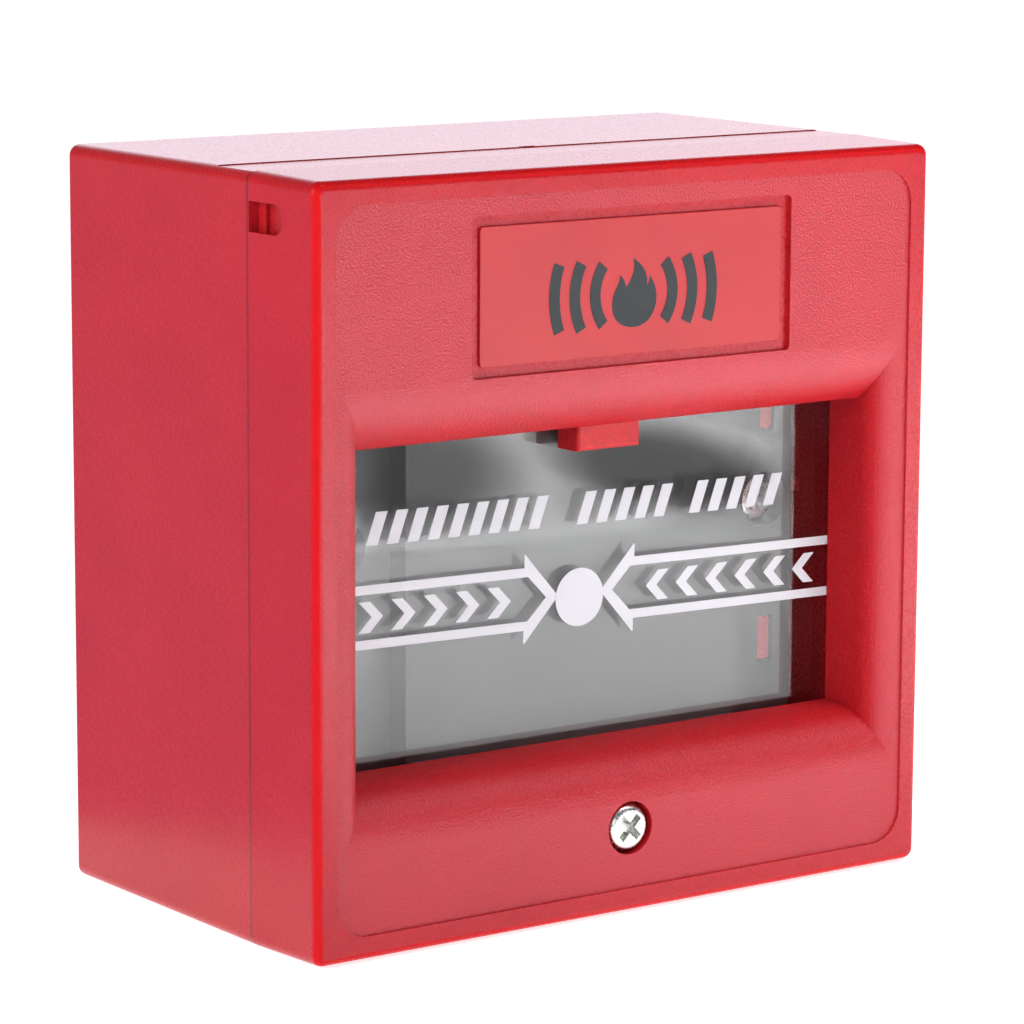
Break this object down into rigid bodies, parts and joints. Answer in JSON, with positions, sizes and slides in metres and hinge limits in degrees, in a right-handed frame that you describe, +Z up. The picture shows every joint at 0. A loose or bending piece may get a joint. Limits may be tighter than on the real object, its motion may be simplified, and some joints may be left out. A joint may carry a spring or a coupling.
{
  "type": "manual call point",
  "caption": "Surface-mounted break-glass manual call point: square box, recessed glass pane, drop tab and microswitch, cover held by a front screw.",
  "frame": {"origin": "centre of the four wall holes, on the back face that lies against the wall", "axes": "+X to the right seen from the front, +Z up, +Y into the wall, so the front faces -Y"},
  "size_m": [0.086, 0.051, 0.086],
  "materials": {
    "red_smooth": "satin moulded ABS",
    "red_textured": "spark-eroded face, smooth border",
    "red_label": "fine satin",
    "red_tab": "gloss",
    "grey_plate": "satin",
    "pane_glass": "clear float glass",
    "bright_screw": "bright nickel plate",
    "zinc_screw": "zinc plate",
    "insert_brass": "turned",
    "nylon": "natural nylon",
    "spring_steel": "drawn wire",
    "black_moulding": "satin",
    "board": "solder mask over glass laminate",
    "switch_black": "moulded",
    "plunger_red": "moulded",
    "lever_steel": "pressed strip",
    "contact_metal": "tinned",
    "terminal_green": "moulded"
  },
  "bodies": {
    "housing": {"back_box": "red_smooth", "threaded_inserts": "insert_brass", "base_plate": "grey_plate", "base_screws": "zinc_screw", "tab_spring": "spring_steel", "carrier_springs": "spring_steel", "circuit_board": "board", "board_screws": "zinc_screw", "switch_case": "switch_black", "switch_lid": "switch_black", "switch_terminals": "contact_metal", "switch_contacts": "contact_metal", "lever_pin": "lever_steel", "terminal_housing": "terminal_green", "terminal_cages": "zinc_screw", "terminal_screws": "zinc_screw", "terminal_pins": "contact_metal"},
    "cover": {"front_cover": "red_textured", "label_plate": "red_label", "cover_screw": "bright_screw", "screw_retainer": "nylon"},
    "pane": {"glass_pane": "pane_glass"},
    "carrier": {"pane_carrier": "black_moulding"},
    "tab": {"drop_tab": "red_tab"},
    "lever": {"switch_lever": "lever_steel"},
    "plunger": {"switch_plunger": "plunger_red"},
    "blade": {"contact_blade": "contact_metal"}
  },
  "joints": [
    {"name": "cover_pull", "type": "slide", "parent": "housing", "child": "cover", "axis": [0, -1, 0], "range_m": [0, 0.03]},
    {"name": "pane_drop", "type": "slide", "parent": "housing", "child": "pane", "axis": [0, 0, -1], "range_m": [0, 0.0018], "stiffness_N_per_m": 200, "springref_m": -0.004},
    {"name": "carrier_slide", "type": "slide", "parent": "housing", "child": "carrier", "axis": [0, 0, -1], "range_m": [0, 0.0018], "deforming": ["carrier_springs"]},
    {"name": "tab_slide", "type": "slide", "parent": "housing", "child": "tab", "axis": [0, 0, -1], "range_m": [0, 0.0018], "deforming": ["tab_spring"]},
    {"name": "lever_swing", "type": "hinge", "parent": "housing", "child": "lever", "pos_m": [0.0056, -0.0319, 0.0207], "axis": [0, -1, 0], "range_deg": [0, 8.1]},
    {"name": "plunger_slide", "type": "slide", "parent": "housing", "child": "plunger", "axis": [0, 0, -1], "range_m": [0, 0.00066]},
    {"name": "blade_snap", "type": "hinge", "parent": "housing", "child": "blade", "pos_m": [0.0051, -0.0319, 0.0264], "axis": [0, -1, 0], "range_deg": [0, 3.5]}
  ],
  "couplings": [
    {"joint": "carrier_slide", "follows": "pane_drop", "ratio": 1},
    {"joint": "tab_slide", "follows": "pane_drop", "ratio": 1},
    {"joint": "lever_swing", "follows": "pane_drop", "rad_per_m": 77.7},
    {"joint": "plunger_slide", "follows": "pane_drop", "ratio": 0.36},
    {"joint": "blade_snap", "follows": "pane_drop", "rad_per_m": 32}
  ]
}
